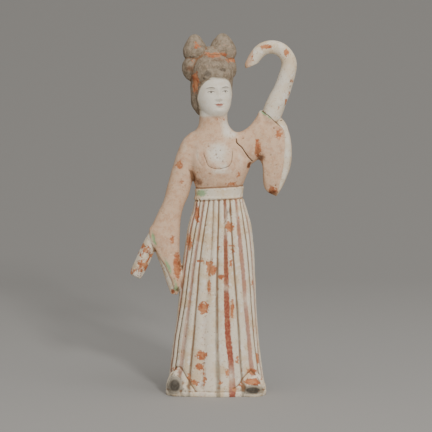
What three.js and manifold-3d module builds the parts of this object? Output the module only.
// A pottery tomb figure of a dancer. One arm hangs and the other is raised, each in a bell sleeve with a long
// under-sleeve: the lower one is a short hanging stub, and the upper one curls over like a crook. The skirt is pleated
// and belted high, and the hair is dressed over the head in two lobes behind and two buns on top.
// The whole figure is one piece of fired clay. Millimetres, +Z up, front at -Y, and the origin is the middle of the
// flat underside.

import * as THREE from "three";
import { mergeVertices } from "three/addons/utils/BufferGeometryUtils.js";
import Module from "manifold-3d";

const wasm = await Module();
wasm.setup();

const { degToRad, lerp } = THREE.MathUtils;

// Driving dimensions.
const BELT_BOTTOM = 163.6;
const BELT_HEIGHT = 9;
const BELT_PROUD = 0.9;
const BELT_TILT = degToRad(3.5);
const PLEATS = 26;
const PLEAT_DEPTH_AT_HEM = 1.4;
const PLEAT_DEPTH_AT_BELT = 0.7;
const SIDES_PER_PLEAT = 4;
const SIDES_TO_FIRST_GROOVE = 2;
const HEAD_TURN = degToRad(17);
const HEAD_ROLL = degToRad(2.5);
const CHIN_LEVEL = new THREE.Vector3(-2.4, 0.5, 235.5);
const FLOOR_BLOCK = [200, 200, 20];

// Skirt sections from the floor up: height, left edge, right edge, front, back.
const SKIRT = [
  [0, -40.6, 40.6, -26.6, 25],
  [3, -41.2, 41.2, -27, 25.4],
  [12, -40.4, 39.6, -26, 24.8],
  [35, -37.8, 36.2, -24.2, 23.6],
  [62, -33.8, 33.6, -22.4, 22.4],
  [95, -30.4, 32, -20.6, 21.6],
  [122, -27, 30.6, -19, 20],
  [142, -23.8, 28.4, -17, 17.6],
  [155, -19.8, 24.6, -14.8, 15.2],
  [165, -17.8, 21.4, -13.4, 13.6],
];

// Bodice and neck sections, in the same columns.
const BODICE = [
  [160, -16.8, 20.4, -12.6, 13],
  [172, -17.8, 21.4, -13.4, 13.2],
  [179, -20, 23.2, -16, 13.2],
  [187, -22, 26.4, -17.8, 13.2],
  [195, -24, 29, -17.2, 13.8],
  [204, -26, 27.6, -14.8, 14.2],
  [212, -25.6, 23.4, -12.8, 13.8],
  [218, -20.4, 16.6, -11.8, 12.8],
  [222.5, -16.2, 11.4, -11.2, 12],
  [228, -14.6, 9, -11, 11.6],
  [237, -14.4, 8.6, -11.4, 11],
  [246, -14.2, 8.4, -11, 10.6],
];

// Sleeve sections from inside the body to the tip that hangs: x and z of one edge, x and z of the other, front, back.
const LOWERED_SLEEVE = [
  [-12, 221, -3, 196, -10.5, 11],
  [-20.5, 219, -10, 190, -10.5, 10.5],
  [-27.7, 213, -16, 184, -10, 9.5],
  [-32.7, 203, -19.5, 180, -9.8, 8.4],
  [-37, 189.6, -21.5, 174.5, -9.6, 7.4],
  [-41, 176.2, -24, 166, -9.6, 6.6],
  [-44.5, 162.8, -27.5, 157.5, -9.8, 6],
  [-48.7, 152.7, -30.2, 147, -10.2, 5.8],
  [-53.7, 142.6, -31, 133, -10.6, 5.4],
  [-56.6, 136.8, -31, 119, -11, 5],
  [-53.3, 124, -29.4, 106, -10.8, 3.6],
  [-47.5, 108, -28.5, 97, -10.2, 2],
  [-42.5, 94, -29, 90, -9.2, 0.4],
  [-38.6, 83.4, -33.4, 83, -7.4, -1.4],
];
const RAISED_SLEEVE = [
  [2, 220, 4, 192, -10.5, 11],
  [11, 219.8, 14, 188, -10.5, 11],
  [18.5, 219, 24.5, 189, -10.5, 10.5],
  [24.3, 221.6, 30.5, 193.5, -10.4, 9.8],
  [29.5, 226.6, 35, 196, -10, 9],
  [33.5, 232.6, 38, 191, -9.8, 8.6],
  [36.4, 237, 38.6, 182, -9.8, 8.4],
  [45, 235.2, 39, 175.5, -9.9, 8],
  [55.4, 229, 40.5, 171.3, -9.8, 7.4],
  [61, 216, 43, 168.6, -9.6, 6.6],
  [62.6, 203, 45.5, 167, -9, 5.6],
  [61, 189, 48, 166, -8, 4.2],
  [55.5, 175, 50, 165.4, -6.6, 2.4],
];

// Under-sleeves: x, y, z and radius along the middle line. The crook is a stem, an arc and a tail.
const STUB = [
  [-52, -3, 133, 5.6],
  [-57.5, -3.4, 122, 6],
  [-62, -3.8, 112, 5.9],
  [-66, -4, 103.5, 5.6],
  [-68.6, -4, 97.8, 4.6],
];
const CROOK_MIDDLE = [45.2, 275];
const CROOK_RADIUS = 14.7;
const CROOK_FROM = degToRad(-12);
const CROOK_TO = degToRad(150);
const CROOK_ARC_POINTS = 6;
const CROOK_Y = -1;
const CROOK_STEM = [
  [42.5, 225, 7.6],
  [46.4, 235.5, 8.2],
  [50.4, 245.5, 7.8],
  [55, 256, 7.1],
];
const CROOK_TAIL = [25.4, 271.6, 3.8];
const CROOK_ARC_RADII = [6.5, 5.1];

// Head sections from the chin up, before the head is turned: height, half width, front, back.
const FACE = [
  [-7, 6, -6, 8],
  [-3.5, 8.4, -12.4, 9],
  [0, 10.6, -15.6, 11],
  [4, 12.8, -16.2, 13],
  [9, 14.4, -16, 15],
  [15, 15.3, -15.8, 17],
  [21, 15.3, -16, 17],
  [27, 14.6, -15.2, 16],
  [33, 12, -12, 13],
  [39, 6, -6, 7],
];
const HAIR = [
  [-4, 8, 3, 13],
  [0, 12.8, 0, 15.8],
  [7, 16.4, -3.4, 18.6],
  [15, 17.4, -6.4, 19.6],
  [22, 17.7, -10, 20.2],
  [28, 17.7, -15.2, 20],
  [32, 17.4, -16.3, 19.4],
  [38, 16.4, -15.4, 18.4],
  [43, 13.4, -13, 16],
  [47.5, 7.5, -6.6, 11],
];

// Swellings and hollows of the face, symmetrical about its middle line: distance to the side, height, spread across,
// spread up and down, and how far each stands out. The thirds run chin to nose, nose to brow and brow to hairline.
const FEATURES = [
  [0, 11.4, 2.3, 1.9, 2.2],
  [0, 15.4, 1.7, 4, 1.2],
  [6, 18, 3.4, 2.4, -1.3],
  [6, 17.6, 2.4, 1.2, 0.8],
  [6, 21.4, 4.6, 1.6, 0.4],
  [0, 7.7, 3.4, 1, 1.1],
  [0, 5.2, 2.8, 1.1, 1],
  [0, 1.2, 3.6, 2, 0.9],
  [7.8, 11, 4, 4, 0.5],
];

// Round masses of hair: x, y, z of the middle, the three half sizes, and how much the upper end is drawn in.
// Two lobes behind, two buns over them, and the gathered hair that joins the four.
const HAIR_MASSES = [
  [-13.8, 9, 37.4, 9.2, 9.6, 11.6, 0],
  [14.8, 9, 36.6, 9, 9.6, 11.6, 0],
  [-11.4, 9.4, 53.6, 9.6, 9.4, 11.6, 0.3],
  [13, 9.4, 53, 10.8, 9.8, 12.4, 0.3],
  [0.6, 8.6, 45, 18.6, 9.8, 9.6, 0],
];

// Shoe tips and the hem that is lifted over each, in the same columns but from the floor.
const SHOES = [
  [-34.3, -16.6, 8, 6.8, 9.4, 9.2, 0],
  [-26, -18, 4.6, 4.8, 7.6, 7.4, 0],
  [29.4, -17.6, 5.4, 10, 9.2, 10, 0],
];
const HEM_ARCHES = [
  [-29.6, -11.6, 7, 13, 10.4, 16.6, 0.1],
  [27.6, -13.4, 6, 13.6, 10, 15, 0.1],
];

// Counts of faces round and along each form.
const SKIRT_RINGS = 10;
const BODICE_SIDES = 32;
const BODICE_RINGS = 13;
const SLEEVE_SIDES = 20;
const SLEEVE_RINGS = 22;
const TUBE_SIDES = 12;
const CROOK_RINGS = 26;
const STUB_RINGS = 7;
const FACE_SIDES = 40;
const FACE_RINGS = 24;
const FACE_CROWDING = 0.6;
const HAIR_SIDES = 24;
const HAIR_RINGS = 11;
const ROUND_SIDES = 14;

// A row between the rows of a table, each column on a Catmull-Rom curve through its stations; t runs from 0 to 1.
function rowAt(table, t) {
  const last = table.length - 1;
  const place = Math.min(t * last, last - 1e-9);
  const i = Math.floor(place);
  const f = place - i;
  return table[i].map((p1, column) => {
    const p2 = table[i + 1][column];
    const p0 = i > 0 ? table[i - 1][column] : 2 * p1 - p2;
    const p3 = i + 2 <= last ? table[i + 2][column] : 2 * p2 - p1;
    const slope1 = (p2 - p0) / 2;
    const slope2 = (p3 - p1) / 2;
    const rise = p2 - p1;
    return p1 + f * (slope1 + f * (3 * rise - 2 * slope1 - slope2 + f * (slope1 + slope2 - 2 * rise)));
  });
}

// A closed skin over rings of points, with a fan over each end ring.
function skin(rings) {
  const sides = rings[0].length;
  const middle = (ring) => ring.reduce((sum, p) => sum.add(p), new THREE.Vector3()).divideScalar(sides);
  const points = [...rings.flat(), middle(rings[0]), middle(rings.at(-1))];
  const firstMiddle = rings.length * sides;
  const lastMiddle = firstMiddle + 1;
  const lastRing = (rings.length - 1) * sides;
  const index = [];
  for (let j = 0; j < sides; j++) {
    const k = (j + 1) % sides;
    for (let i = 0; i < rings.length - 1; i++) {
      const [a, b, c, d] = [i * sides + j, i * sides + k, (i + 1) * sides + j, (i + 1) * sides + k];
      index.push(a, b, d, a, d, c);
    }
    index.push(firstMiddle, k, j, lastMiddle, lastRing + j, lastRing + k);
  }
  return new THREE.BufferGeometry().setFromPoints(points).setIndex(index);
}

// A ring between two opposite edge points and a front and back, rounder than an ellipse as the exponent grows.
// Crowding gathers its points towards the front.
function ring(edge1, edge2, front, back, { sides, exponent = 2, crowding = 0 }) {
  const middle = edge1.clone().add(edge2).divideScalar(2).setY((front + back) / 2);
  const across = edge2.clone().sub(edge1).divideScalar(2).setY(0);
  const deep = (back - front) / 2;
  const bend = (value) => Math.sign(value) * Math.abs(value) ** (2 / exponent);
  return Array.from({ length: sides }, (_, j) => {
    const turn = (2 * Math.PI * j) / sides;
    const angle = turn - crowding * Math.cos(turn);
    const out = across.clone().multiplyScalar(bend(Math.cos(angle)));
    return middle.clone().add(out.setY(deep * bend(Math.sin(angle))));
  });
}

// Rings standing on level sections of left, right, front and back.
function levelRings(table, rings, shape) {
  return Array.from({ length: rings + 1 }, (_, i) => {
    const [z, left, right, front, back] = rowAt(table, i / rings);
    return ring(new THREE.Vector3(left, 0, z), new THREE.Vector3(right, 0, z), front, back, shape);
  });
}

// A sleeve between its two edge lines.
function sleeve(table) {
  return skin(
    Array.from({ length: SLEEVE_RINGS + 1 }, (_, i) => {
      const [x1, z1, x2, z2, front, back] = rowAt(table, i / SLEEVE_RINGS);
      const edges = [new THREE.Vector3(x1, 0, z1), new THREE.Vector3(x2, 0, z2)];
      return ring(...edges, front, back, { sides: SLEEVE_SIDES, exponent: 2.2 });
    }),
  );
}

// A rolled coil of clay along a line in an upright plane.
function tube(table, rings) {
  const step = 1e-3;
  const sections = Array.from({ length: rings + 1 }, (_, i) => {
    const t = i / rings;
    const [x, y, z, radius] = rowAt(table, t);
    const before = rowAt(table, Math.max(t - step, 0));
    const after = rowAt(table, Math.min(t + step, 1));
    const along = new THREE.Vector3(after[0] - before[0], 0, after[2] - before[2]).normalize();
    const across = new THREE.Vector3(along.z, 0, -along.x).multiplyScalar(radius);
    const middle = new THREE.Vector3(x, 0, z);
    const edges = [middle.clone().add(across), middle.clone().sub(across)];
    return ring(...edges, y - radius, y + radius, { sides: TUBE_SIDES });
  });
  return skin(sections);
}

// An egg with its middle at x, y, z, drawn in towards the top by the taper.
function mass([x, y, z, halfX, halfY, halfZ, taper]) {
  const ball = new THREE.SphereGeometry(1, ROUND_SIDES, ROUND_SIDES / 2 + 2).rotateX(Math.PI / 2);
  const position = ball.attributes.position;
  for (let i = 0; i < position.count; i++) {
    const narrow = 1 - taper * position.getZ(i);
    position.setXY(i, position.getX(i) * narrow, position.getY(i) * narrow);
  }
  return ball.scale(halfX, halfY, halfZ).translate(x, y, z);
}

// A closed geometry as a solid, turned right side out if its faces point in.
function solid(geometry) {
  const bare = geometry.clone();
  bare.deleteAttribute("normal");
  bare.deleteAttribute("uv");
  const merged = mergeVertices(bare, 1e-4);
  const vertProperties = new Float32Array(merged.attributes.position.array);
  const make = (triVerts) => new wasm.Manifold(new wasm.Mesh({ numProp: 3, vertProperties, triVerts }));
  const triVerts = new Uint32Array(merged.index.array);
  const made = make(triVerts);
  return made.volume() > 0 ? made : make(triVerts.reverse());
}

// Shallow flutes: the skin sinks towards each groove between two pleats, less near the belt. One groove runs down the
// middle of the front.
function pleatedSkirt() {
  const rings = levelRings(SKIRT, SKIRT_RINGS, { sides: PLEATS * SIDES_PER_PLEAT, exponent: 2.3 });
  for (const points of rings) {
    const depth = lerp(PLEAT_DEPTH_AT_HEM, PLEAT_DEPTH_AT_BELT, points[0].z / BELT_BOTTOM);
    points.forEach((point, j) => {
      const fullness = Math.abs(Math.sin((Math.PI * (j + SIDES_TO_FIRST_GROOVE)) / SIDES_PER_PLEAT));
      const reach = Math.hypot(point.x, point.y);
      const drawn = 1 - (depth * (1 - fullness) ** 2) / reach;
      point.set(point.x * drawn, point.y * drawn, point.z);
    });
  }
  return skin(rings);
}

// The belt is a low band round the waist, higher on the side of the raised arm.
function belt() {
  const [, left, right, front, back] = rowAt(SKIRT, 1);
  const proud = [left - BELT_PROUD, right + BELT_PROUD, front - BELT_PROUD, back + BELT_PROUD];
  const band = [0, BELT_HEIGHT].map((height) => [height - BELT_HEIGHT / 2, ...proud]);
  const geometry = skin(levelRings(band, 1, { sides: BODICE_SIDES, exponent: 2.1 }));
  return geometry.rotateY(-BELT_TILT).translate(0, 0, BELT_BOTTOM + BELT_HEIGHT / 2);
}

function crook() {
  const [middleX, middleZ] = CROOK_MIDDLE;
  const stem = CROOK_STEM.map(([x, z, radius]) => [x, CROOK_Y, z, radius]);
  const arc = Array.from({ length: CROOK_ARC_POINTS }, (_, i) => {
    const share = i / (CROOK_ARC_POINTS - 1);
    const angle = lerp(CROOK_FROM, CROOK_TO, share);
    const x = middleX + CROOK_RADIUS * Math.cos(angle);
    const z = middleZ + CROOK_RADIUS * Math.sin(angle);
    return [x, CROOK_Y, z, lerp(...CROOK_ARC_RADII, share)];
  });
  const [tailX, tailZ, tailRadius] = CROOK_TAIL;
  return tube([...stem, ...arc, [tailX, CROOK_Y, tailZ, tailRadius]], CROOK_RINGS);
}

// The face swells and sinks about its plain egg shape, fading to nothing at its sides.
function face(table) {
  const rings = levelRings(table, FACE_RINGS, { sides: FACE_SIDES, exponent: 2.15, crowding: FACE_CROWDING });
  const bell = (distance, spread) => Math.exp(-((distance / spread) ** 2));
  for (const point of rings.flat()) {
    if (point.y < 0) {
      const stand = ([side, height, wide, tall, out]) =>
        out * bell(Math.abs(point.x) - side, wide) * bell(point.z - height, tall);
      point.y -= FEATURES.reduce((sum, feature) => sum + stand(feature), 0);
    }
  }
  return skin(rings);
}

// Everything above the neck, modelled facing the front and then turned and rolled on the neck.
function headForms() {
  const level = (table) => table.map(([z, half, front, back]) => [z, -half, half, front, back]);
  const forms = [
    face(level(FACE)),
    skin(levelRings(level(HAIR), HAIR_RINGS, { sides: HAIR_SIDES, exponent: 2.1 })),
    ...HAIR_MASSES.map(mass),
  ];
  const pose = new THREE.Matrix4().makeRotationFromEuler(new THREE.Euler(0, -HEAD_ROLL, HEAD_TURN));
  return forms.map((form) => form.applyMatrix4(pose.setPosition(CHIN_LEVEL)));
}

function figureGeometry() {
  const forms = [
    pleatedSkirt(),
    skin(levelRings(BODICE, BODICE_RINGS, { sides: BODICE_SIDES, exponent: 2.1 })),
    belt(),
    sleeve(LOWERED_SLEEVE),
    sleeve(RAISED_SLEEVE),
    tube(STUB, STUB_RINGS),
    crook(),
    ...headForms(),
    ...[...SHOES, ...HEM_ARCHES].map(mass),
  ];
  const underFloor = new THREE.BoxGeometry(...FLOOR_BLOCK).translate(0, 0, -FLOOR_BLOCK[2] / 2);
  const clay = forms.map(solid).reduce((sum, form) => sum.add(form));
  const mesh = clay.subtract(solid(underFloor)).getMesh();
  const geometry = new THREE.BufferGeometry();
  geometry.setAttribute("position", new THREE.BufferAttribute(mesh.vertProperties, 3));
  geometry.setIndex(new THREE.BufferAttribute(mesh.triVerts, 1));
  geometry.computeVertexNormals();
  return geometry;
}

const slipOverClay = new THREE.MeshStandardMaterial({ color: 0xdcbd99, roughness: 0.92, metalness: 0 });

const figure = new THREE.Mesh(figureGeometry(), slipOverClay);
figure.name = "dancer_figure";

const part = new THREE.Group();
part.add(figure);

export default part;
